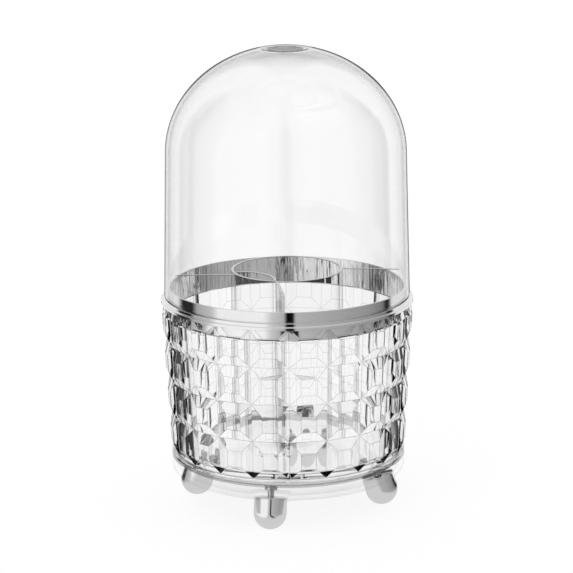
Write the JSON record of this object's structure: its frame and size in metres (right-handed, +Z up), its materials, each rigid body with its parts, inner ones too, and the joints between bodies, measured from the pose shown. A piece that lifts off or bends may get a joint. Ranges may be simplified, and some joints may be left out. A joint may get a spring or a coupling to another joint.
{
  "type": "makeup brush holder",
  "caption": "Clear makeup brush holder: diamond-cut bucket turning on a footed base, plated collar ring, lift-out insert with tube and dividers, and lift-off dome cover.",
  "frame": {"origin": "on the holder's axis at table level, under the centre of the base", "axes": "+Z up along the holder's axis, -Y towards the front, +X to the right as seen from the front"},
  "size_m": [0.12, 0.12, 0.2198],
  "materials": {
    "clear_acrylic": "clear, polished",
    "chrome_plate": "bright plated",
    "zinc_steel": "zinc plated",
    "smoke_plastic": "dark, smooth",
    "white_nylon": "white, satin"
  },
  "bodies": {
    "base": {"base_dish": "clear_acrylic", "foot_front": "chrome_plate", "foot_right": "chrome_plate", "foot_back": "chrome_plate", "foot_left": "chrome_plate", "foot_front_screw": "zinc_steel", "foot_right_screw": "zinc_steel", "foot_back_screw": "zinc_steel", "foot_left_screw": "zinc_steel", "glide_ring": "smoke_plastic", "thrust_washer": "white_nylon", "screw_washer": "white_nylon", "pivot_screw": "zinc_steel"},
    "turntable": {"bucket": "clear_acrylic", "hub_cap": "clear_acrylic", "collar_ring": "chrome_plate"},
    "insert": {"centre_tube": "clear_acrylic", "curved_partition": "clear_acrylic", "divider_front": "clear_acrylic", "divider_left": "clear_acrylic", "divider_right": "clear_acrylic"},
    "dome": {"dome_cover": "clear_acrylic"}
  },
  "joints": [
    {"name": "bucket_turn", "type": "hinge", "parent": "base", "child": "turntable", "pos_m": [0, 0, 0.0254], "axis": [0, 0, 1], "continuous": true},
    {"name": "insert_lift", "type": "slide", "parent": "turntable", "child": "insert", "axis": [0, 0, 1], "range_m": [0, 0.06]},
    {"name": "dome_lift", "type": "slide", "parent": "turntable", "child": "dome", "axis": [0, 0, 1], "range_m": [0, 0.15]}
  ]
}
